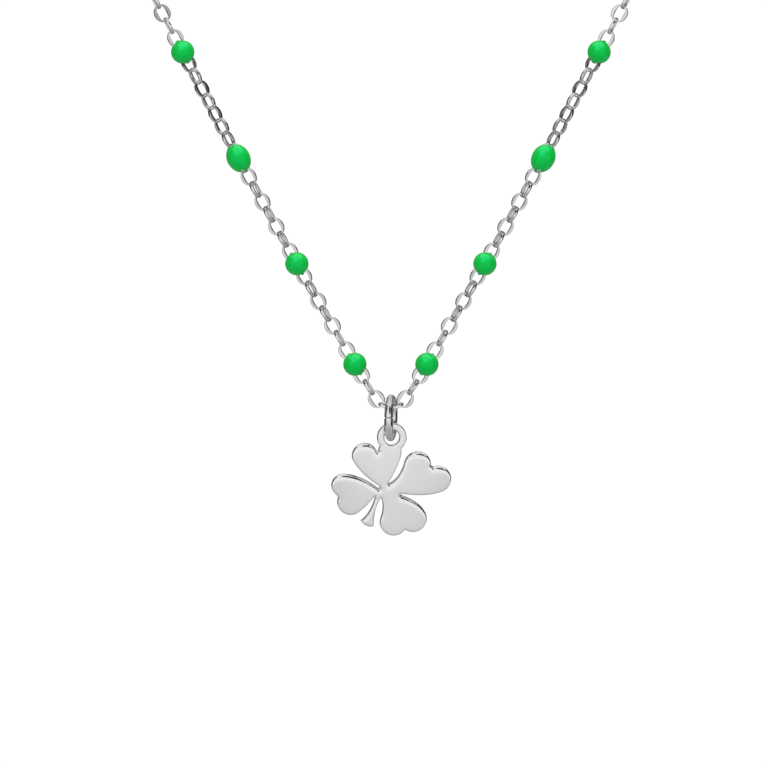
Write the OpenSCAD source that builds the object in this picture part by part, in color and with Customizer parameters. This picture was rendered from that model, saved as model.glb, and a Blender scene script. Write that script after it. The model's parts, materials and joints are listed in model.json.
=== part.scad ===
// Beaded chain necklace with a four leaf clover pendant on a jump ring.
// The clasp at the back of the neck is at the origin, and the clover hangs in front of it and below.

/* [Clover] */
// Width of the four leaves together
clover_w = 15; // [12:0.1:18]
// Thickness of the clover plate
clover_t = 1; // [0.8:0.05:1.2]
// Outer diameter of the loop on top of the clover
loop_d = 3.7; // [3.5:0.05:4.2]
// Diameter of the hole in the loop
loop_hole_d = 1.9; // [1.8:0.05:2.1]
// Turn of the clover about the vertical
clover_yaw = 6; // [0:1:8]

/* [Jump ring] */
// Outer diameter of the jump ring
ring_d = 5.9; // [5.7:0.05:6.4]
// Wire diameter of the jump ring
ring_wire_d = 1.1; // [0.9:0.05:1.15]
// Turn of the jump ring about the vertical
ring_yaw = -7; // [-8:1:0]

/* [Chain] */
// Outer length of a link
link_len = 2.35; // [2.3:0.01:2.6]
// Outer width of a link
link_w = 2.14; // [2:0.01:2.2]
// Thickness of the flattened wire
link_t = 0.42; // [0.35:0.01:0.45]
// Width of the wire along the sides of a link
link_side_w = 0.55; // [0.5:0.01:0.6]
// Width of the wire at the ends of a link
link_end_w = 0.205; // [0.18:0.005:0.25]
// Play between two links along the chain
link_play = 0.16; // [0.14:0.01:0.2]
// Number of links on each side, from the middle link to the clasp
links_per_side = 111; // [107:1:115]
// Clear space around parts that touch on the real chain
seat_gap = 0.13; // [0.12:0.01:0.15]

/* [Middle link] */
// Inner length of the saddle shaped link that the jump ring hangs on
saddle_slot_len = 2.9; // [2.88:0.02:3.2]
// Outer width of the saddle link
saddle_w = 1.5; // [1.44:0.02:1.56]
// Diameter of its round ends
saddle_end_d = 1.6; // [1.6:0.02:1.8]
// Width of its slot
saddle_slot_w = 0.78; // [0.76:0.01:0.84]
// Bend radius of the saddle
saddle_bend_r = 2.5; // [2.4:0.05:3]
// Slope of the first link on each side
first_slope = 57; // [54:1:60]

/* [Beads] */
// Diameter of an enamel bead
bead_d = 2.95; // [2.8:0.05:3.3]
// Reach of the enamel past the ball, where it ends on the wire
bead_tip = 0.1; // [0.05:0.01:0.2]
// Diameter of the enamel where it ends on the wire
tip_d = 1.1; // [0.9:0.05:1.3]
// The same where the bead covers the joint of two links, at the next link
joint_tip_d = 1.4; // [1.2:0.05:1.6]
// Links from one bead to the next
bead_step = 8.5; // [6.5:1:8.5]

/* [Clasp] */
// Outer diameter of the clasp ring
clasp_d = 5.8; // [5.4:0.1:6.6]
// Wire diameter of the clasp ring
clasp_wire_d = 1.1; // [0.9:0.05:1.2]
// Outer diameter of the eye on the clasp, and of its wire
eye_d = 2.8; // [2.7:0.05:3.2]
// Wire diameter of the eye
eye_wire_d = 0.7; // [0.6:0.05:0.75]
// Outer diameter of the ring at each end of the chain
end_ring_d = 3.7; // [3.5:0.05:4.2]
// Wire diameter of the end rings
end_ring_wire_d = 0.7; // [0.6:0.05:0.75]

/* [Hidden] */
$fn = 48;
BEADS_PER_SIDE = 13;
// Links that the first two beads of each side cover
FIRST_BEADS = [4, 12];
SIDES = ["right", "left"];
function bead_name(side, i) = str("bead_", side, i < 9 ? "_0" : "_", i + 1);

// Chosen points of the right half of the chain, seen from the middle link: right, back, up.
// The first five lie on the straight front, behind them the chain goes round the neck.
CHAIN_ROUTE = [
    [4.5, 0.9, 5.3],
    [11.7, 3, 17.6],
    [19, 5.3, 30.6],
    [26, 7.6, 43.7],
    [29.6, 8.9, 50.4],
    [37, 13.5, 63.5],
    [44, 22.5, 76.5],
    [49, 34.5, 87.5],
    [51, 50, 96.5],
    [47, 67, 104.5],
    [37, 81.5, 109],
    [21, 91, 111]];
// Where the chain ends at the clasp, seen from the middle link: back and up
NAPE = [94.5, 111.5];
// The neck's axis lies this far behind the middle link
NECK_AXIS_Y = 48;
// Roll of the chain about its own line: link number, degrees
CHAIN_ROLL = [[1, 5], [6, 1], [10, 9], [14, 0], [20, -2], [23, 14], [28, 26], [31, 46], [60, 0]];
// How far the enamel of the first beads has slipped along the chain, in links
BEAD_SLIPS = [-0.12, 0.03, 0, -0.08];
ROUTE_STEPS = 10;

// One row for each leaf, lengths as shares of clover_w.
// Columns: direction of the leaf, distance of its notch, then for its left and its right side:
// where the flank starts at the hub, right and up; the lobe's distance from the hub, its offset
// to the side and its radius; the direction in which the flank leaves the lobe, and how far it
// keeps that direction, as a share of the flank's length.
LEAVES = [
    [104, 0.335,
        [-0.042, 0.022], [0.317, 0.093, 0.107, 108, 0.455],
        [0.027, 0.041], [0.289, 0.117, 0.098, 117, 0.4]],
    [25.5, 0.442,
        [0.027, 0.041], [0.337, 0.063, 0.111, 140, 0.64],
        [0.058, -0.031], [0.433, 0.124, 0.114, 94, 0.36]],
    [-65, 0.392,
        [0.058, -0.031], [0.335, 0.108, 0.115, 91, 0.4],
        [-0.031, -0.071], [0.289, 0.05, 0.116, 135, 0.59]],
    [188.7, 0.402,
        [-0.072, -0.044], [0.297, 0.063, 0.111, 119, 0.5],
        [-0.052, 0.005], [0.336, 0.088, 0.1, 104, 0.45]]];
LEAF_AXIS = 0;
LEAF_NOTCH = 1;
LEAF_STARTS = [2, 4];
LEAF_LOBES = [3, 5];
LOBE_AWAY = 0;
LOBE_ASIDE = 1;
LOBE_R = 2;
LOBE_LEAVE = 3;
LOBE_HOLD = 4;
FLANK_STEPS = 8;
// Radius of the hub that joins the leaves
HUB_R = 0.045;
// The stem's corners, from its left side at the hub round the foot to its right side, and the
// pulls that bend its left side, its foot and its right side, as shares of clover_w
STEM_CORNERS = [[-0.072, -0.044], [-0.203, -0.267], [-0.092, -0.317], [-0.031, -0.071]];
STEM_PULLS = [[-0.114, -0.208], [-0.151, -0.333], [-0.094, -0.172]];
// Centre of the loop, seen from the hub
LOOP_AT = [0.061, 0.433];

link_pitch = link_len - 2 * link_end_w - link_play;
link_hole_half = link_len / 2 - link_end_w;
link_hole_w = link_w - 2 * link_side_w;
LINK_HOLE_CORNER = 0.3;

saddle_half_angle = deg(saddle_slot_len / 2 / saddle_bend_r);
saddle_end_angle = deg((saddle_slot_len / 2 + link_end_w) / saddle_bend_r);
saddle_axis_z = saddle_bend_r;

ring_r = (ring_d - ring_wire_d) / 2;
// The ring's inner circle clears the upper corners of the saddle link
ring_inner_r = ring_r - ring_wire_d / 2;
ring_z = link_t / 2 - sqrt(pow(ring_inner_r - seat_gap, 2) - pow(saddle_w / 2, 2));
// The wire climbs a little inside the thickness of the loop, and crosses it at a slant
ring_climb = ring_r - sqrt(pow(ring_r, 2) - pow(clover_t / 2, 2));
ring_slant = clover_yaw - ring_yaw;
loop_reach = loop_hole_d / 2 - ring_wire_d / 2 / cos(ring_slant) - seat_gap;
// The loop hangs a little to the right on the wire
LOOP_ASIDE = 0.42;
loop_aside = LOOP_ASIDE * loop_reach;
wire_aside = loop_aside + clover_t / 2 * tan(ring_slant);
loop_drop = sqrt(pow(loop_reach, 2) - pow(wire_aside, 2)) - ring_climb;
loop_z = ring_z - ring_r - loop_drop;

end_ring_r = (end_ring_d - end_ring_wire_d) / 2;
clasp_r = (clasp_d - clasp_wire_d) / 2;
eye_r = (eye_d - eye_wire_d) / 2;
// The eye's wire sinks this share of its thickness into the clasp ring
EYE_SINK = 0.5;
eye_away = clasp_r + clasp_wire_d / 2 + eye_r + eye_wire_d * (0.5 - EYE_SINK);

// Distances along the back, from the last joint of one half of the chain to that of the other
wires_end_eye = end_ring_r + eye_r - (end_ring_wire_d + eye_wire_d) / 2 - seat_gap;
wires_end_clasp = end_ring_r + clasp_r - (end_ring_wire_d + clasp_wire_d) / 2 - seat_gap;
end_ring_inner_r = end_ring_r - end_ring_wire_d / 2;
link_to_end_ring = sqrt(pow(end_ring_inner_r - seat_gap, 2) - pow(link_t / 2, 2)) + link_play / 2;
back_len = 2 * link_to_end_ring + wires_end_eye + eye_away + wires_end_clasp;

function deg(rad) = rad * 180 / PI;
function unit(v) = v / norm(v);

// The first link's hole hooks under the end of the saddle
first_dir = [cos(first_slope), 0, sin(first_slope)];
first_side = [-sin(first_slope), 0, cos(first_slope)];
function on_saddle(angle, radius) = [radius * sin(angle), 0, saddle_axis_z - radius * cos(angle)];
saddle_corner = on_saddle(saddle_half_angle, saddle_bend_r + link_t / 2);
saddle_bar = on_saddle((saddle_half_angle + saddle_end_angle) / 2, saddle_bend_r);
first_link_at = (saddle_corner * first_dir + link_hole_half - seat_gap) * first_dir
    + (saddle_bar * first_side) * first_side;
route_start = first_link_at - link_pitch / 2 * first_dir;

// The chosen route, stretched to the length of the chain, with its two ends where they hold
function spline(a, b, c, d, t) =
    ((2 * b) + (c - a) * t + (2 * a - 5 * b + 4 * c - d) * t * t + (3 * b - a - 3 * c + d) * t * t * t) / 2;
function curve(points) = [
    for (i = [1 : len(points) - 3], k = [0 : ROUTE_STEPS - 1])
        spline(points[i - 1], points[i], points[i + 1], points[i + 2], k / ROUTE_STEPS),
    points[len(points) - 2]];
function lengths(points, i = 0, run = 0) =
    i == len(points) - 1 ? [run] : concat([run], lengths(points, i + 1, run + norm(points[i + 1] - points[i])));
route_end = [back_len / 2, NAPE[0], NAPE[1]];
lead_in = route_start - 3 * link_pitch * first_dir;
past_end = [-CHAIN_ROUTE[len(CHAIN_ROUTE) - 1][0], CHAIN_ROUTE[len(CHAIN_ROUTE) - 1][1], NAPE[1]];
chosen = concat([lead_in, route_start], CHAIN_ROUTE, [route_end, past_end]);
chosen_curve = curve(chosen);
chosen_len = lengths(chosen_curve)[len(chosen_curve) - 1];
stretch = links_per_side * link_pitch / chosen_len;
function stretched(p, share) = [
    p[0] * stretch + route_start[0] * (1 - stretch) * (1 - share) + route_end[0] * (1 - stretch) * share,
    route_start[1] + (p[1] - route_start[1]) * stretch,
    route_start[2] + (p[2] - route_start[2]) * stretch];
route = [for (i = [0 : len(chosen_curve) - 1]) stretched(chosen_curve[i], i / (len(chosen_curve) - 1))];
route_lengths = lengths(route);
route_len = route_lengths[len(route) - 1];
nape = route[len(route) - 1];
route_axes = [for (axis = [0 : 2]) [for (i = [0 : len(route) - 1]) [route_lengths[i], route[i][axis]]]];
function on_route(joint) = [for (axis = [0 : 2]) lookup(joint * route_len / links_per_side, route_axes[axis])];

// Place and direction of link k of the right half: k may be a half between two links
function link_at(k) = (on_route(k - 1) + on_route(k)) / 2;
function link_dir(k) = unit(on_route(k) - on_route(k - 1));
function outward(k) =
    let (away = link_at(k) - [0, NECK_AXIS_Y, 0], flat = [away[0], away[1], 0], dir = link_dir(k))
    unit(flat - (flat * dir) * dir);
function faces_out(k) = floor(k) % 2 == 1;
function link_normal(k) =
    let (out = outward(k), aside = cross(link_dir(k), out), turn = lookup(k, CHAIN_ROLL) + (faces_out(k) ? 0 : 90))
    cos(turn) * out + sin(turn) * aside;
module at_link(k) {
    dir = link_dir(k);
    normal = link_normal(k);
    side = cross(normal, dir);
    centre = link_at(k);
    multmatrix([for (i = [0 : 2]) [dir[i], side[i], normal[i], centre[i]]])
        children();
}

// The drawn out tip starts inside the ball: how far along and how wide, as shares of its radius
TIP_ROOT = [0.5, 0.76];
// A bead covers one whole link, or the joint of two
function bead_link(i) = i == 0 ? FIRST_BEADS[0] : FIRST_BEADS[1] + bead_step * (i - 1);
bead_links = [for (i = [0 : BEADS_PER_SIDE - 1]) bead_link(i)];
function bead_at(i) = bead_link(i) + (i < len(BEAD_SLIPS) ? BEAD_SLIPS[i] : 0);
function is_covered(k) = len([for (q = bead_links) if (q == k) q]) > 0;
function is_on_joint(i) = bead_link(i) != floor(bead_link(i));
// The links whose ends lie in the bead
function held_links(i) =
    is_on_joint(i) ? [floor(bead_link(i)), ceil(bead_link(i))] : [bead_link(i) - 1, bead_link(i) + 1];
// Where a bead covers a joint, its tips taper towards the next links
next_link_at = 1.5 * link_pitch - link_len / 2;

module torus(outer_d, wire_d) {
    rotate_extrude()
        translate([(outer_d - wire_d) / 2, 0])
            circle(d = wire_d);
}

module rounded_slot(len, w, r) {
    square([len - 2 * r, w], center = true);
    square([len, w - 2 * r], center = true);
    for (x = [-1, 1], y = [-1, 1])
        translate([x * (len / 2 - r), y * (w / 2 - r)])
            circle(r = r);
}

module oval(len, w) {
    square([len - w, w], center = true);
    for (x = [-1, 1])
        translate([x * (len - w) / 2, 0])
            circle(d = w);
}

// One flattened link along X, its face along Z, made fatter all over by grow
module link_shape(grow = 0) {
    linear_extrude(link_t + 2 * grow, center = true)
        difference() {
            oval(link_len + 2 * grow, link_w + 2 * grow);
            rounded_slot(2 * link_hole_half - 2 * grow, link_hole_w - 2 * grow, LINK_HOLE_CORNER);
        }
}

// A sector of a tube whose axis lies along Y, centred on straight down
module saddle_sector(inner_r, outer_r, w, half_angle) {
    translate([0, 0, saddle_axis_z])
        rotate([90, 0, 0])
            rotate([0, 0, -90 - half_angle])
                rotate_extrude(angle = 2 * half_angle)
                    translate([inner_r, -w / 2])
                        square([outer_r - inner_r, w]);
}

// What a round end leaves off the right end of the saddle
module saddle_corners(reach) {
    round_angle = saddle_end_angle - deg(saddle_end_d / 2 / saddle_bend_r);
    translate([0, 0, saddle_axis_z])
        rotate([0, 180 - round_angle, 0])
            difference() {
                translate([-saddle_end_d, -saddle_end_d, 0])
                    cube([saddle_end_d, 2 * saddle_end_d, reach]);
                cylinder(d = saddle_end_d, h = 3 * reach, center = true);
            }
}

// The middle link is bent down in its middle, where the jump ring pulls
module saddle_link() {
    inner_r = saddle_bend_r - link_t / 2;
    outer_r = saddle_bend_r + link_t / 2;
    difference() {
        saddle_sector(inner_r, outer_r, saddle_w, saddle_end_angle);
        saddle_sector(inner_r - link_t, outer_r + link_t, saddle_slot_w, saddle_half_angle);
        for (side = [0, 1])
            mirror([side, 0, 0])
                saddle_corners(outer_r + link_t);
    }
}

module at_front() {
    translate(-[0, nape[1], nape[2]])
        children();
}

module chain() {
    color("silver")
        at_front() {
            saddle_link();
            for (side = [0, 1], k = [1 : links_per_side])
                if (!is_covered(k))
                    mirror([side, 0, 0])
                        at_link(k)
                            link_shape();
        }
}

// A ball with a tapered tip along X at each end, its poles inside the tips
module bead_body(tip_at, tip_d) {
    r = bead_d / 2;
    rotate([45, 0, 0])
        rotate([0, 90, 0]) {
            sphere(r = r);
            for (turn = [0, 180])
                rotate([turn, 0, 0])
                    translate([0, 0, TIP_ROOT[0] * r])
                        cylinder(r1 = TIP_ROOT[1] * r, r2 = tip_d / 2, h = tip_at - TIP_ROOT[0] * r);
        }
}

module joint_bead_body() {
    intersection() {
        bead_body(next_link_at, joint_tip_d);
        cube([2 * (next_link_at - seat_gap), 2 * bead_d, 2 * bead_d], center = true);
    }
}

module bead(i) {
    color("mediumseagreen")
        at_front()
            difference() {
                at_link(bead_at(i))
                    if (is_on_joint(i))
                        joint_bead_body();
                    else
                        bead_body(bead_d / 2 + bead_tip, tip_d);
                for (k = held_links(i))
                    at_link(k)
                        link_shape(seat_gap);
            }
}

module jump_ring() {
    color("silver")
        at_front()
            translate([0, 0, ring_z])
                rotate([0, 0, ring_yaw])
                    rotate([0, 90, 0])
                        torus(ring_d, ring_wire_d);
}

function arc_pull(a, b, c, t) = (1 - t) * (1 - t) * a + 2 * t * (1 - t) * b + t * t * c;
function turned(p, angle) = [p[0] * cos(angle) - p[1] * sin(angle), p[0] * sin(angle) + p[1] * cos(angle)];

// From the cleft at the hub to the lobe, whose direction it takes: way is 1 on the left, -1 on the right
function flank(start, lobe, way) =
    let (
        centre = [lobe[LOBE_AWAY], way * lobe[LOBE_ASIDE]],
        leave = way * lobe[LOBE_LEAVE],
        touch = centre + lobe[LOBE_R] * [cos(leave), sin(leave)],
        back = way * [-sin(leave), cos(leave)],
        pull = touch + lobe[LOBE_HOLD] * norm(touch - start) * back)
    concat([for (k = [0 : FLANK_STEPS]) arc_pull(start, pull, touch, k / FLANK_STEPS)], [centre]);

module leaf(row) {
    starts = [for (column = LEAF_STARTS) turned(row[column], -row[LEAF_AXIS])];
    left = flank(starts[0], row[LEAF_LOBES[0]], 1);
    right = flank(starts[1], row[LEAF_LOBES[1]], -1);
    rotate(row[LEAF_AXIS]) {
        polygon(concat([[0, 0]], left, [[row[LEAF_NOTCH], 0]], [for (k = [len(right) - 1 : -1 : 0]) right[k]]));
        for (side = [0, 1])
            let (lobe = row[LEAF_LOBES[side]])
                translate([lobe[LOBE_AWAY], (1 - 2 * side) * lobe[LOBE_ASIDE]])
                    circle(r = lobe[LOBE_R]);
    }
}

module stem() {
    polygon(concat(
        [[0, 0]],
        [for (i = [0 : 2], k = [0 : FLANK_STEPS - 1])
            arc_pull(STEM_CORNERS[i], STEM_PULLS[i], STEM_CORNERS[i + 1], k / FLANK_STEPS)],
        [STEM_CORNERS[3]]));
}

module plate() {
    linear_extrude(clover_t, center = true)
        scale(clover_w)
            children();
}

module clover_body() {
    for (row = LEAVES)
        plate() leaf(row);
    plate() stem();
    plate() circle(r = HUB_R);
    translate(LOOP_AT * clover_w)
        cylinder(d = loop_d, h = clover_t, center = true);
}

module clover() {
    color("gainsboro")
        at_front()
            translate([loop_aside, 0, loop_z])
                rotate([0, 0, clover_yaw])
                    rotate([90, 0, 0])
                        difference() {
                            translate(-LOOP_AT * clover_w)
                                clover_body();
                            cylinder(d = loop_hole_d, h = 2 * clover_t, center = true);
                        }
}

left_end_ring_x = -back_len / 2 + link_to_end_ring;
eye_x = left_end_ring_x + wires_end_eye;
clasp_x = eye_x + eye_away;
right_end_ring_x = clasp_x + wires_end_clasp;

// A plain round clasp with the eye that holds it to the chain
module clasp() {
    color("silver") {
        translate([clasp_x, 0, 0])
            rotate([90, 0, 0])
                torus(clasp_d, clasp_wire_d);
        translate([eye_x, 0, 0])
            rotate([90, 0, 0])
                torus(eye_d, eye_wire_d);
    }
}

module end_ring(x) {
    color("silver")
        translate([x, 0, 0])
            torus(end_ring_d, end_ring_wire_d);
}

chain();
jump_ring();
clover();
clasp();
end_ring(left_end_ring_x);  // end_ring_left
end_ring(right_end_ring_x);  // end_ring_right
for (i = [0 : BEADS_PER_SIDE - 1]) {
    bead(i);
    mirror([1, 0, 0]) bead(i);
}
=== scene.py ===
"""Looks of the necklace with the four leaf clover pendant: polished silver and green enamel.

The frame gives every place. Lengths here are in metres, worked out from millimetres by MM.
"""
import bpy
import bmesh
import json
import math
import numpy as np
from mathutils import Matrix, Vector
from mathutils.kdtree import KDTree


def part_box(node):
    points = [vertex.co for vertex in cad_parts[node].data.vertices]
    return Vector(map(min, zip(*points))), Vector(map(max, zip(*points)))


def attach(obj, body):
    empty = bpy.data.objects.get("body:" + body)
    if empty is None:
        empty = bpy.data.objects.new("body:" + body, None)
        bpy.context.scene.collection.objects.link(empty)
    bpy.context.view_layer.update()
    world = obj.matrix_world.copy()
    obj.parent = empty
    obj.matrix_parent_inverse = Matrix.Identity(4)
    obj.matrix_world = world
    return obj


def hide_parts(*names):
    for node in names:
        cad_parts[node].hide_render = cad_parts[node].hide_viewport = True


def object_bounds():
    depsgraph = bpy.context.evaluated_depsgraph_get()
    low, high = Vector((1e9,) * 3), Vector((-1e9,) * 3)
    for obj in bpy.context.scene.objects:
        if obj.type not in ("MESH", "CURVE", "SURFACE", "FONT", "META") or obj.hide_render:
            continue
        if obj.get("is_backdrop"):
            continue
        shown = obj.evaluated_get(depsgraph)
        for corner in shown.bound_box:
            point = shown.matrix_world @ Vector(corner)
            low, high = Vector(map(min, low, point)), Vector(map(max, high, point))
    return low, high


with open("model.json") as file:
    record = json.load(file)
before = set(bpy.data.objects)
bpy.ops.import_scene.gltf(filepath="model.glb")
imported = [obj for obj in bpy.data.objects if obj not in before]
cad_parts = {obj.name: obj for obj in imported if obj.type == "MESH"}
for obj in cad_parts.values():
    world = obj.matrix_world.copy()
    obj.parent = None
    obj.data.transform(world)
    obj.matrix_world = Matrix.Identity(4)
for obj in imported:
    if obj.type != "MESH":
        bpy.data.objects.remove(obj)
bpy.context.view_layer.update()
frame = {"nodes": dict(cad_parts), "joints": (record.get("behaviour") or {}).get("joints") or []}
bpy.ops.object.select_all(action="DESELECT")

MM = 0.001
# Vertices nearer to each other than this are one
MERGE = 0.0005 * MM

# The photo's frame: its width and height in pixels, how many show a millimetre, where the jump
# ring's middle lies in it, and the camera's height over the ring as an angle
PHOTO_PX = 768
PX_PER_MM = 8
RING_CENTRE_PX = (390.9, 417.8)
CAMERA_ELEVATION = math.radians(10)
CAMERA_AWAY = 3.0

# Links of flattened wire, and how many segments go round the link and round its wire
LINK = {
    "length": 2.35 * MM, "width": 2.14 * MM,
    "hole_length": 1.94 * MM, "hole_width": 1.04 * MM, "thickness": 0.42 * MM}
LINK_SEGMENTS = (16, 6)
# The middle link is longer and bent like a saddle
SADDLE = {
    "length": 3.31 * MM, "width": 1.5 * MM,
    "hole_length": 2.9 * MM, "hole_width": 0.78 * MM, "thickness": 0.42 * MM}
SADDLE_SEGMENTS = (40, 8)
SADDLE_BEND_R = 2.5 * MM
# Boxiness of a link's outline and of its hole: 2 is an ellipse, more is a rounder box
OUTER_BOXINESS = 2.1
HOLE_BOXINESS = 3.2
# How much the round wire is squared: 1 leaves it round
WIRE_FLATNESS = 0.62
LINK_SMOOTHING = 58

# Beads: the ball, and how far its drawn out ends reach from its centre
BALL_R = 1.47 * MM
BALL_SEGMENTS = (48, 24)
TIP_REACH = 1.9 * MM
# How pointed they are: 0 leaves an ellipsoid, 1 makes a sharp point
TIP_SHARPNESS = 0.08
TIP_SMOOTHING = 80
# The crest over each end of a covered link: radius, half thickness, and how far along it lies
CREST_R = 1.32 * MM
CREST_HALF_THICKNESS = 0.13 * MM
CREST_ALONG = 0.3 * MM
BEAD_VOXEL = 0.08 * MM
BEAD_ROUNDS = 2
# How far apart links lie, and the gap between two links past which a bead covers a third one
LINK_PITCH = 1.78 * MM
COVERED_GAP = 1.5 * LINK_PITCH

# Clover: how it hangs turned, and how finely and softly its edges are rounded
CLOVER_YAW = math.radians(6)
CLOVER_VOXEL = 0.06 * MM
OUTLINE_ROUNDS = 3
RIM_ROUNDS = 4
# A vertex is on the rim where its normal points less than this along Y
RIM_FACING = 0.5
# Neighbours on the outline that tell how far off it is and which way it faces
OUTLINE_NEIGHBOURS = 60
# The edges between faces and rim are polished to this radius
RIM_R = 0.16 * MM
# Rims that face up have a bevel instead, and a shallow shoulder inside it
BEVEL = {"width": 0.3 * MM, "steepness": 1.15, "softness": 0.09 * MM}
SHOULDER = {"width": 0.85 * MM, "steepness": 0.1, "softness": 0.08 * MM}
# They reach their full steepness where the outline faces up by one part in this
SLOPE_START = 3
# The faces fall off a little towards every rim: how deep, and how far in
CROWN = 0.025 * MM
CROWN_REACH = 0.35 * MM
# The most that comes off a face, which leaves a thin edge
MOST_OFF = 0.46 * MM
# The loop isn't bevelled: it lies so near to the pendant's pivot
LOOP_REACH = 2.2 * MM
# The plate bows back a little at its top and bottom: how far, and at what distance
BOW = 0.12 * MM
BOW_REACH = 7 * MM
# The outer leaves lean forward a little: how much, and at what distance
LEAN = math.radians(3.5)
LEAN_REACH = 7.5 * MM

# Jump ring: radii of the ring and its wire, and segments round each
RING_R = 2.4 * MM
RING_WIRE_R = 0.549 * MM
RING_SEGMENTS = (120, 24)
RING_SMOOTHING = 35
# The seam where it was closed: half width, depth as a share of the wire's radius, and height
SEAM_HALF_WIDTH = 0.09 * MM
SEAM_DEPTH = 0.3
SEAM_HEIGHT = math.radians(10)
BACK_RINGS_VOXEL = 0.08 * MM
BACK_RINGS_ROUNDS = 4

# Finishes: the first and the second tone that a soft mottling mixes
PLATE_TONES = ((0.865, 0.865, 0.867), (0.84, 0.839, 0.837))
WIRE_TONES = ((0.80, 0.80, 0.805), (0.66, 0.65, 0.635))
LINK_TONES = ((0.76, 0.76, 0.763), (0.66, 0.657, 0.652))
ENAMEL_TONES = ((0.003, 0.38, 0.038), (0.002, 0.35, 0.032))
# The tint of what the enamel mirrors
ENAMEL_GLOSS = (0.08, 0.9, 0.65, 1)

# How bright the studio is in front of the necklace and behind it, from straight down to straight
# up: the sine of the height, brightness
FRONT = ((-1, 0.42), (-0.6, 0.50), (-0.3, 0.71), (0, 0.97), (0.6, 0.93), (1, 0.85))
BEHIND = ((-1, 0.42), (-0.6, 0.35), (-0.1, 0.25), (0.05, 0.60), (0.3, 0.66), (1, 0.75))
# How far back a direction points where the one starts to give way to the other, and has done so
TURNOVER = ((0.1, 0), (0.35, 1))
# Dark cards round the pendant, this far from it: azimuth and elevation in degrees, width and
# height, grey
CARDS_AWAY = 1.0
CARDS = {
    "card_left": (-86, 10, (0.95, 1.3), 0.12),
    "card_right": (86, 10, (0.89, 1.3), 0.02),
    "card_left_behind": (-134, 10, (0.92, 1.3), 0.2),
    "card_right_behind": (135, 10, (0.96, 1.3), 0.2),
    "card_above_right": (33, 45, (0.66, 0.68), 0.005),
    "card_above_left": (-72, 44, (0.5, 0.5), 0.12)}
# The floor is pale, glows a little and lies below the pendant
FLOOR_SIZE = 40
FLOOR_BELOW = 0.08
FLOOR_TONE = 0.95
FLOOR_GLOW = 0.25
STAGE_ROUGHNESS = 0.9


# Working with objects

def select_only(piece):
    bpy.ops.object.select_all(action="DESELECT")
    piece.select_set(True)
    bpy.context.view_layer.objects.active = piece


def take_primitive(name):
    """The primitive that an operator has just added, with its place in its mesh."""
    piece = bpy.context.object
    piece.name = name
    select_only(piece)
    bpy.ops.object.transform_apply(location=True, rotation=True, scale=True)
    return piece


def copy_of_node(node, name):
    """A copy of a CAD node's mesh, its loose triangles merged."""
    piece = bpy.data.objects.new(name, frame["nodes"][node].data.copy())
    bpy.context.scene.collection.objects.link(piece)
    piece.data.materials.clear()
    select_only(piece)
    bpy.ops.object.mode_set(mode="EDIT")
    bpy.ops.mesh.select_all(action="SELECT")
    bpy.ops.mesh.remove_doubles(threshold=MERGE)
    bpy.ops.object.mode_set(mode="OBJECT")
    return piece


def joint_of(body):
    """The joint that carries a body."""
    return next(joint for joint in frame["joints"] if joint["child"] == body)


def placed_copy(prototype, name, place):
    """A copy with its place in its mesh."""
    piece = bpy.data.objects.new(name, prototype.data.copy())
    bpy.context.scene.collection.objects.link(piece)
    piece.data.transform(place)
    return piece


def joined(pieces, name):
    """The pieces as one object, loose in it."""
    bpy.ops.object.select_all(action="DESELECT")
    for piece in pieces:
        piece.select_set(True)
    bpy.context.view_layer.objects.active = pieces[0]
    bpy.ops.object.join()
    pieces[0].name = name
    return pieces[0]


def apply_modifier(piece, kind, **settings):
    modifier = piece.modifiers.new(kind.lower(), kind)
    for name, value in settings.items():
        setattr(modifier, name, value)
    select_only(piece)
    bpy.ops.object.modifier_apply(modifier=modifier.name)


def melt_together(piece, voxel, rounds):
    """Fuses the piece's parts into one skin and rounds its edges."""
    apply_modifier(piece, "REMESH", mode="VOXEL", voxel_size=voxel, use_smooth_shade=True)
    apply_modifier(piece, "SMOOTH", factor=0.5, iterations=rounds)


def smooth(piece, degrees):
    select_only(piece)
    bpy.ops.object.shade_smooth_by_angle(angle=math.radians(degrees))


def finish_piece(piece, material, slot, body, *nodes):
    """Gives a piece its finish, hides the CAD nodes that it stands for and hangs it on the body
    that it rides.
    """
    piece.data.materials.clear()
    piece.data.materials.append(material)
    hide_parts(*nodes)
    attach(piece, body)
    piece.select_set(False)


# Materials

class Signal:
    """A shader socket that takes part in sums: each operator adds its Math node."""

    def __init__(self, shader, socket):
        self.shader = shader
        self.socket = socket

    def maths(self, operation, first, second):
        return self.shader.node("Math", {"operation": operation}, {0: first, 1: second})

    def __add__(self, other):
        return self.maths("ADD", self, other)

    def __mul__(self, other):
        return self.maths("MULTIPLY", self, other)

    def __rsub__(self, other):
        return self.maths("SUBTRACT", other, self)


# A colour Mix node's two colours and its result have names that its other sockets have too
MIX_FIRST = 6
MIX_SECOND = 7
MIX_RESULT = 2


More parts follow.
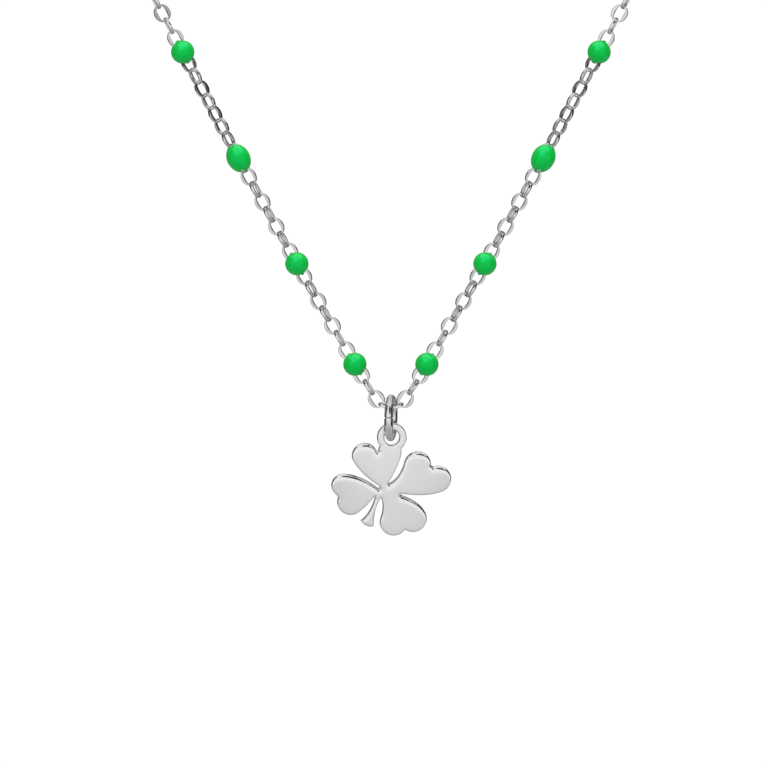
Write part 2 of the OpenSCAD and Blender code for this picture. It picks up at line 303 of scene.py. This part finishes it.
class Shader:
    """A material, or the world, whose nodes are all made by one method."""

    def __init__(self, name, kind="materials"):
        self.made = getattr(bpy.data, kind).new(name)
        self.made.use_nodes = True
        self.tree = self.made.node_tree
        self.tree.nodes.clear()

    @property
    def place(self):
        """Where a point lies on its object."""
        return self.node("TexCoord", {}, {}, "Object")

    def node(self, kind, settings, inputs, output=0):
        """Adds a node: inputs are values or signals, and stops are a ramp's positions and greys."""
        made = self.tree.nodes.new("ShaderNode" + kind)
        for name, value in settings.items():
            if name == "stops":
                for _ in value[2:]:
                    made.color_ramp.elements.new(1)
                for stop, (position, grey) in zip(made.color_ramp.elements, value):
                    stop.position = position
                    stop.color = (grey, grey, grey, 1)
            else:
                setattr(made, name, value)
        for name, value in inputs.items():
            if isinstance(value, Signal):
                self.tree.links.new(value.socket, made.inputs[name])
            else:
                made.inputs[name].default_value = value
        return Signal(self, made.outputs[output]) if made.outputs else None

    def noise(self, size, detail=2):
        """Soft mottling from 0 to 1, its spots about size across."""
        inputs = {"Vector": self.place, "Scale": 1 / size, "Detail": detail}
        return self.node("TexNoise", {}, inputs, "Fac")

    def greys(self, value, *stops):
        """Greys that follow value: each stop is a value and its grey."""
        return self.node("ValToRGB", {"stops": stops}, {"Fac": value}, "Color")

    def colour_mix(self, share, first, second):
        inputs = {"Factor": share, MIX_FIRST: (*first, 1), MIX_SECOND: (*second, 1)}
        return self.node("Mix", {"data_type": "RGBA"}, inputs, MIX_RESULT)

    def bump(self, height, depth, strength):
        inputs = {"Height": height, "Distance": depth, "Strength": strength}
        return self.node("Bump", {}, inputs)

    def surface(self, **inputs):
        """The Principled surface: a name's words are joined by an underline."""
        named = {name.replace("_", " "): value for name, value in inputs.items()}
        shader = self.node("BsdfPrincipled", {}, named)
        self.node("OutputMaterial", {}, {"Surface": shader})
        return self.made


def polished_silver():
    """The clover's plate: mirror bright, with faint buffing waves and hairlines."""
    shader = Shader("polished_silver")
    cloud = shader.noise(size=6 * MM)
    hairlines = shader.noise(size=0.12 * MM, detail=4)
    wave = shader.noise(size=3 * MM)
    return shader.surface(
        Base_Color=shader.colour_mix(cloud, *PLATE_TONES),
        Metallic=1.0,
        Roughness=cloud * 0.08 + hairlines * 0.05 + 0.06,
        Normal=shader.bump(wave + hairlines * 0.02, depth=0.02 * MM, strength=0.3))


def wire_silver():
    """Round wire of the rings and the clasp: bright, with drawing marks and faint tarnish."""
    shader = Shader("wire_silver")
    tarnish = shader.greys(shader.noise(size=2 * MM, detail=5), (0.4, 0), (0.75, 1))
    grain = shader.noise(size=0.15 * MM, detail=4)
    return shader.surface(
        Base_Color=shader.colour_mix(tarnish, *WIRE_TONES),
        Metallic=1.0,
        Roughness=grain * 0.08 + 0.08,
        Normal=shader.bump(grain, depth=0.01 * MM, strength=0.25))


def chain_silver():
    """Flattened links: bright faces that differ a little from link to link."""
    shader = Shader("chain_silver")
    mottle = shader.greys(shader.noise(size=1.1 * MM, detail=3), (0.35, 0), (0.7, 1))
    grain = shader.noise(size=0.1 * MM, detail=3)
    return shader.surface(
        Base_Color=shader.colour_mix(mottle, *LINK_TONES),
        Metallic=1.0,
        Roughness=mottle * 0.08 + grain * 0.06 + 0.10,
        Normal=shader.bump(grain, depth=0.012 * MM, strength=0.3))


def green_enamel():
    """Fired enamel: opaque green under a clear gloss, a little deeper in places."""
    shader = Shader("green_enamel")
    depth = shader.noise(size=1.6 * MM)
    ripple = shader.noise(size=0.9 * MM, detail=1)
    return shader.surface(
        Base_Color=shader.colour_mix(depth, *ENAMEL_TONES),
        Roughness=depth * 0.06 + 0.20,
        Specular_IOR_Level=0.75,
        Specular_Tint=ENAMEL_GLOSS,
        Normal=shader.bump(ripple, depth=0.02 * MM, strength=0.25))


# Chain

def loose_solids(node):
    """The faces of each loose solid of a CAD node: area, normal and centre of every face."""
    mesh = bmesh.new()
    mesh.from_mesh(frame["nodes"][node].data)
    bmesh.ops.remove_doubles(mesh, verts=mesh.verts, dist=MERGE)
    mesh.verts.ensure_lookup_table()
    mesh.verts.index_update()
    seen = set()
    solids = []
    for start in mesh.verts:
        if start.index in seen:
            continue
        seen.add(start.index)
        waiting = [start]
        faces = {}
        while waiting:
            for face in waiting.pop().link_faces:
                if face.index in faces:
                    continue
                faces[face.index] = (
                    face.calc_area(), face.normal.copy(), face.calc_center_median())
                for vertex in face.verts:
                    if vertex.index not in seen:
                        seen.add(vertex.index)
                        waiting.append(vertex)
        solids.append(list(faces.values()))
    mesh.free()
    return solids


def link_place(faces):
    """Where a link lies: X along it, Z square to its face.

    Most of its skin faces along Z, least along X.
    """
    areas, normals, centres = (np.array(column) for column in zip(*faces))
    centre = areas @ centres / areas.sum()
    along, across, _ = np.linalg.eigh((normals.T * areas) @ normals)[1].T
    axes = np.array([along, across, np.cross(along, across)]).T
    return Matrix.Translation(centre) @ Matrix(axes.tolist()).to_4x4()


def oval_reach(turn, length, width, boxiness):
    """From the centre to the edge of an oval, at an angle."""
    return ((2 * abs(math.cos(turn)) / length) ** boxiness
            + (2 * abs(math.sin(turn)) / width) ** boxiness) ** (-1 / boxiness)


def squared(share):
    return math.copysign(min(1, abs(share)) ** WIRE_FLATNESS, share)


def flattened_link(name, segments, length, width, hole_length, hole_width, thickness):
    """A link along X, its face along Z: a ring of round wire pressed flat."""
    wire_r = 0.5
    bpy.ops.mesh.primitive_torus_add(
        major_segments=segments[0], minor_segments=segments[1],
        major_radius=1, minor_radius=wire_r)
    piece = take_primitive(name)
    for vertex in piece.data.vertices:
        x, y, z = vertex.co
        turn = math.atan2(y, x)
        outer = oval_reach(turn, length, width, OUTER_BOXINESS)
        inner = oval_reach(turn, hole_length, hole_width, HOLE_BOXINESS)
        across = squared((math.hypot(x, y) - 1) / wire_r)
        reach = (outer + inner) / 2 + across * (outer - inner) / 2
        height = squared(z / wire_r) * thickness / 2
        vertex.co = (reach * math.cos(turn), reach * math.sin(turn), height)
    return piece


def bend_saddle(piece):
    """Bends the middle link upwards at both ends."""
    for vertex in piece.data.vertices:
        turn = vertex.co.x / SADDLE_BEND_R
        radius = SADDLE_BEND_R - vertex.co.z
        vertex.co.x = radius * math.sin(turn)
        vertex.co.z = SADDLE_BEND_R - radius * math.cos(turn)


ring_low, ring_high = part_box("jump_ring")
ring_centre = (ring_low + ring_high) / 2
links = [(link_place(faces), faces) for faces in loose_solids("chain")]
# The middle link is the one that the ring hangs on
middle_link = min(links, key=lambda link: (link[0].translation - ring_centre).length)
links.remove(middle_link)
link_places = [place for place, _ in links]


def chain_links():
    """Every link in its place, as one piece."""
    prototype = flattened_link("link", LINK_SEGMENTS, **LINK)
    copies = [placed_copy(prototype, "link_copy", place) for place in link_places]
    saddle = flattened_link("saddle", SADDLE_SEGMENTS, **SADDLE)
    bend_saddle(saddle)
    place, faces = middle_link
    bottom = min(centre.z for _, _, centre in faces)
    height = bottom + SADDLE["thickness"] / 2
    saddle.data.transform(Matrix.Translation((0, place.translation.y, height)))
    bpy.data.objects.remove(prototype)
    piece = joined([saddle, *copies], "chain_links")
    smooth(piece, LINK_SMOOTHING)
    finish_piece(piece, chain_silver(), "silver", "necklace", "chain")


# Beads

def ball(name, radii, centre=(0, 0, 0)):
    """A ball with its poles along X, so that they lie where the links go in."""
    bpy.ops.mesh.primitive_uv_sphere_add(
        segments=BALL_SEGMENTS[0], ring_count=BALL_SEGMENTS[1], radius=1, location=centre,
        rotation=(0, math.pi / 2, 0), scale=(radii[2], radii[1], radii[0]))
    return take_primitive(name)


def bead_over_link():
    """A ball with the thin crests that the enamel forms over the covered link's ends."""
    radii = (CREST_R, CREST_HALF_THICKNESS, CREST_R)
    crests = [ball("crest", radii, (way * CREST_ALONG, 0, 0)) for way in (-1, 1)]
    piece = joined([ball("bead", (BALL_R,) * 3), *crests], "bead_over_link")
    melt_together(piece, BEAD_VOXEL, BEAD_ROUNDS)
    return piece


def bead_over_joint():
    """A ball drawn out to a blunt point at each end."""
    piece = ball("bead_over_joint", (1, 1, 1))
    for vertex in piece.data.vertices:
        x, y, z = vertex.co
        slimness = (1 - min(1, x * x)) ** (TIP_SHARPNESS / 2)
        vertex.co = (x * TIP_REACH, y * BALL_R * slimness, z * BALL_R * slimness)
    smooth(piece, TIP_SMOOTHING)
    return piece


enamelled = bpy.data.collections.new("enamelled")


def beads():
    """A bead at each CAD bead's place, turned along its links."""
    over_link, over_joint = bead_over_link(), bead_over_joint()
    enamel = green_enamel()
    for node in sorted(frame["nodes"]):
        if not node.startswith("bead_"):
            continue
        low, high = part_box(node)
        centre = (low + high) / 2
        by_distance = sorted(link_places, key=lambda place: (place.translation - centre).length)
        nearest, second = by_distance[:2]
        apart = second.translation - nearest.translation
        along = apart.normalized()
        side = nearest.col[2].to_3d().cross(along).normalized()
        axes = Matrix([along, side, along.cross(side)]).transposed()
        prototype = over_link if apart.length > COVERED_GAP else over_joint
        place = Matrix.Translation(centre) @ axes.to_4x4()
        piece = placed_copy(prototype, node.replace("bead", "enamel"), place)
        finish_piece(piece, enamel, "green_enamel", "necklace", node)
        # As in the photo, the enamel doesn't show in the silver
        piece.visible_glossy = False
        enamelled.objects.link(piece)
    bpy.data.objects.remove(over_link)
    bpy.data.objects.remove(over_joint)


# Clover

def slope_down(inwards, upwards, width, steepness, softness):
    """A soft slope towards an outline: the more the outline faces up, the wider it is."""
    share = max(0, upwards)
    start = min(1, SLOPE_START * share)
    rise = math.log(1 + math.exp((width * share - inwards) / softness))
    return start * steepness * softness * rise


def worn_off(inwards, upwards):
    """What polishing has taken off a face, so far inwards from an outline that faces up so far."""
    within = max(0, RIM_R - inwards)
    rim = (RIM_R - math.sqrt(RIM_R ** 2 - within ** 2)) * (1 - max(0, upwards))
    slopes = slope_down(inwards, upwards, **BEVEL) + slope_down(inwards, upwards, **SHOULDER)
    return min(MOST_OFF, rim + slopes + CROWN * math.exp(-inwards / CROWN_REACH))


def polish_rims(piece, pivot):
    """Takes a plate that stands along X and Z down towards its outline, evenly on both faces."""
    vertices = piece.data.vertices
    middle = sum(vertex.co.y for vertex in vertices) / len(vertices)
    half = max(abs(vertex.co.y - middle) for vertex in vertices)
    flattened = [Vector((vertex.co.x, 0, vertex.co.z)) for vertex in vertices]
    outward = [Vector((vertex.normal.x, 0, vertex.normal.z)).normalized() for vertex in vertices]
    upness = [
        way.z if math.hypot(vertex.co.x - pivot.x, vertex.co.z - pivot.z) > LOOP_REACH else 0
        for vertex, way in zip(vertices, outward)]
    outline = KDTree(len(vertices))
    for i, vertex in enumerate(vertices):
        if abs(vertex.normal.y) < RIM_FACING:
            outline.insert(flattened[i], i)
    outline.balance()
    for vertex, point in zip(vertices, flattened):
        near = outline.find_n(point, OUTLINE_NEIGHBOURS)
        upwards = sum(upness[i] for _, i, _ in near) / len(near)
        away = sum((place - point).dot(outward[i]) for place, i, _ in near) / len(near)
        kept = 1 - worn_off(max(0, away), upwards) / half
        vertex.co.y = middle + (vertex.co.y - middle) * kept


def bow_plate(piece):
    """Bows the plate back at its top and bottom, and leans its outer leaves forward."""
    middle = sum((Vector(corner) for corner in piece.bound_box), Vector()) / len(piece.bound_box)
    for vertex in piece.data.vertices:
        sideways = (vertex.co.x - middle.x) / LEAN_REACH
        upwards = vertex.co.z - middle.z
        vertex.co.y += BOW * (upwards / BOW_REACH) ** 2 - math.tan(LEAN) * sideways ** 2 * upwards


def clover_charm():
    """The cast plate with its rims polished."""
    piece = copy_of_node("clover", "clover_charm")
    turn = Matrix.Rotation(CLOVER_YAW, 4, "Z")
    piece.data.transform(turn.inverted())
    melt_together(piece, CLOVER_VOXEL, OUTLINE_ROUNDS)
    polish_rims(piece, turn.inverted() @ Vector(joint_of("pendant")["pos_m"]))
    melt_together(piece, CLOVER_VOXEL, RIM_ROUNDS)
    bow_plate(piece)
    piece.data.transform(turn)
    finish_piece(piece, polished_silver(), "silver", "pendant", "clover")


# Rings and clasp

def jump_ring_wire(material):
    """A round wire ring with the fine seam where its ends meet, at its front."""
    bpy.ops.mesh.primitive_torus_add(
        major_segments=RING_SEGMENTS[0], minor_segments=RING_SEGMENTS[1],
        major_radius=RING_R, minor_radius=RING_WIRE_R)
    piece = take_primitive("jump_ring_wire")
    step = 2 * math.pi / RING_SEGMENTS[0]
    wire_middle = Vector((RING_R, 0, 0))
    for vertex in piece.data.vertices:
        steps = round(math.atan2(vertex.co.y, vertex.co.x) / step)
        if abs(steps) == 1:
            closer = Matrix.Rotation(steps * (SEAM_HALF_WIDTH / RING_R - step), 3, "Z")
            vertex.co = closer @ vertex.co
        if steps == 0:
            vertex.co = wire_middle + (vertex.co - wire_middle) * (1 - SEAM_DEPTH)
    piece.data.transform(Matrix.Rotation(-SEAM_HEIGHT, 4, "Z"))
    axis = Vector(joint_of("ring")["axis"])
    forwards = axis.cross(Vector((0, 0, 1)))
    if forwards.y > 0:
        forwards = -forwards
    axes = Matrix([forwards, axis.cross(forwards), axis]).transposed()
    piece.data.transform(Matrix.Translation(ring_centre) @ axes.to_4x4())
    smooth(piece, RING_SMOOTHING)
    finish_piece(piece, material, "silver", "ring", "jump_ring")


def back_rings(material):
    """The clasp with its eye soldered on, and the rings at the chain's ends."""
    for node in ("clasp", "end_ring_left", "end_ring_right"):
        piece = copy_of_node(node, node + "_wire")
        melt_together(piece, BACK_RINGS_VOXEL, BACK_RINGS_ROUNDS)
        finish_piece(piece, material, "silver", "necklace", node)


# Studio

def plain_material(name, grey, glow=0.0):
    material = bpy.data.materials.new(name)
    material.use_nodes = True
    surface = material.node_tree.nodes["Principled BSDF"]
    surface.inputs["Base Color"].default_value = (grey, grey, grey, 1)
    surface.inputs["Roughness"].default_value = STAGE_ROUGHNESS
    surface.inputs["Specular IOR Level"].default_value = 0.0
    surface.inputs["Emission Color"].default_value = (grey, grey, grey, 1)
    surface.inputs["Emission Strength"].default_value = glow
    return material


def facing(azimuth, elevation, away):
    """A point round the pendant, and the turn that looks at the pendant from there."""
    a, e = math.radians(azimuth), math.radians(elevation)
    back = Vector((math.sin(a) * math.cos(e), -math.cos(a) * math.cos(e), math.sin(e)))
    return ring_centre + back * away, back.to_track_quat("Z", "Y").to_euler()


def card(name, azimuth, elevation, size, grey):
    """A dark card that only shows in reflections."""
    place, turn = facing(azimuth, elevation, CARDS_AWAY)
    bpy.ops.mesh.primitive_plane_add(size=1, location=place, rotation=turn)
    piece = bpy.context.object
    piece.name = name
    piece.scale = (*size, 1)
    piece.data.materials.append(plain_material(name, grey))
    piece.visible_camera = False
    piece.visible_diffuse = False
    piece.visible_shadow = False
    piece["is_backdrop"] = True


def softbox(name, azimuth, elevation, away, size, brightness):
    """A lamp that lights the enamel alone, so that the silver keeps its greys."""
    place, turn = facing(azimuth, elevation, away)
    bpy.ops.object.light_add(type="AREA", location=place, rotation=turn)
    light = bpy.context.object
    light.name = name
    light.data.shape = "RECTANGLE"
    light.data.size, light.data.size_y = size
    light.data.energy = brightness * math.pi * size[0] * size[1]
    light.visible_camera = False
    light.light_linking.receiver_collection = enamelled


def studio_light():
    """Greys that follow the height of a direction, one row in front and one behind."""
    shader = Shader("studio", "worlds")
    direction = shader.node("TexCoord", {}, {}, "Generated")
    behind, height = (shader.node("SeparateXYZ", {}, {0: direction}, axis) for axis in "YZ")
    # A ramp runs from 0 to 1, a sine from -1 to 1
    front_sky, back_sky = (
        shader.greys(height * 0.5 + 0.5, *((sine / 2 + 0.5, grey) for sine, grey in sky))
        for sky in (FRONT, BEHIND))
    share = shader.greys(behind, *TURNOVER)
    light = shader.node("Background", {}, {"Color": front_sky * (1 - share) + back_sky * share})
    shader.node("OutputWorld", {}, {"Surface": light})
    bpy.context.scene.world = shader.made


def studio():
    """A plain pale floor, soft light and the dark cards."""
    studio_light()
    bpy.context.scene.view_settings.view_transform = "Standard"
    floor_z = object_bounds()[0].z - FLOOR_BELOW
    bpy.ops.mesh.primitive_plane_add(size=FLOOR_SIZE, location=(0, 0, floor_z))
    floor = bpy.context.object
    floor.name = "floor"
    floor.data.materials.append(plain_material("pale_floor", FLOOR_TONE, FLOOR_GLOW))
    floor.visible_glossy = False
    floor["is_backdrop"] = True
    for name, settings in CARDS.items():
        card(name, *settings)
    softbox("softbox_above", azimuth=0, elevation=76, away=0.8, size=(1.2, 1.5), brightness=2)


def camera():
    """The photo's view, with the jump ring where the photo has it."""
    right = Vector((1, 0, 0))
    up = Vector((0, math.sin(CAMERA_ELEVATION), math.cos(CAMERA_ELEVATION)))
    back = right.cross(up)
    metres_per_px = MM / PX_PER_MM
    target = (ring_centre + right * (PHOTO_PX / 2 - RING_CENTRE_PX[0]) * metres_per_px
              + up * (RING_CENTRE_PX[1] - PHOTO_PX / 2) * metres_per_px)
    bpy.ops.object.camera_add(location=target + back * CAMERA_AWAY)
    made = bpy.context.object
    made.rotation_euler = back.to_track_quat("Z", "Y").to_euler()
    made.data.lens = made.data.sensor_width * CAMERA_AWAY / (PHOTO_PX * metres_per_px)
    bpy.context.scene.camera = made


chain_links()
beads()
clover_charm()
wire = wire_silver()
jump_ring_wire(wire)
back_rings(wire)
studio()
camera()
